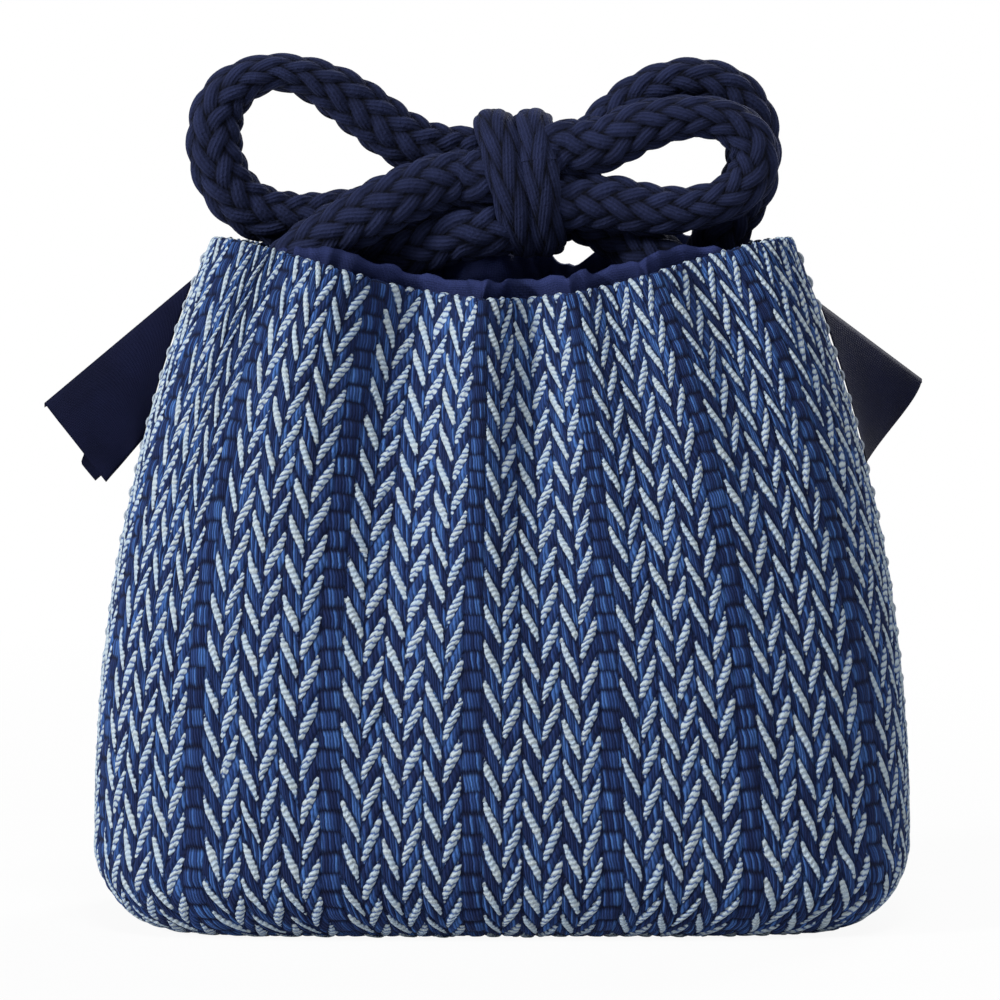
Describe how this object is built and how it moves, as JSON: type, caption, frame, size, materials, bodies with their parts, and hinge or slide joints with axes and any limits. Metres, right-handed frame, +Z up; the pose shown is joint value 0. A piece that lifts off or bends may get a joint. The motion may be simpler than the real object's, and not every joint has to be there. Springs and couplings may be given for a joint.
{
  "type": "drawstring pouch",
  "caption": "Gathered herringbone cloth pouch with a flat base, navy lining, folded side tabs and two braided drawcords tied in a bow over the mouth.",
  "frame": {"origin": "middle of the base, on the surface the pouch stands on", "axes": "+Z up to the mouth and the bow, +X to the right along the pouch's width, the front with the deepest gather faces -Y"},
  "size_m": [0.176, 0.085, 0.1704],
  "materials": {
    "herringbone_cloth": "coarse blue and white herringbone weave",
    "lining_cotton": "plain navy cotton",
    "tab_cotton": "plain navy cotton with a soft sheen",
    "braided_cord": "thick braided navy cotton"
  },
  "bodies": {
    "root": {"front_panel": "herringbone_cloth", "back_panel": "herringbone_cloth", "base_panel": "herringbone_cloth", "lining": "lining_cotton", "front_casing": "lining_cotton", "back_casing": "lining_cotton", "left_tab": "tab_cotton", "right_tab": "tab_cotton", "front_cord": "braided_cord", "back_cord": "braided_cord", "left_loop": "braided_cord", "right_loop": "braided_cord", "bow_knot": "braided_cord"}
  },
  "joints": []
}
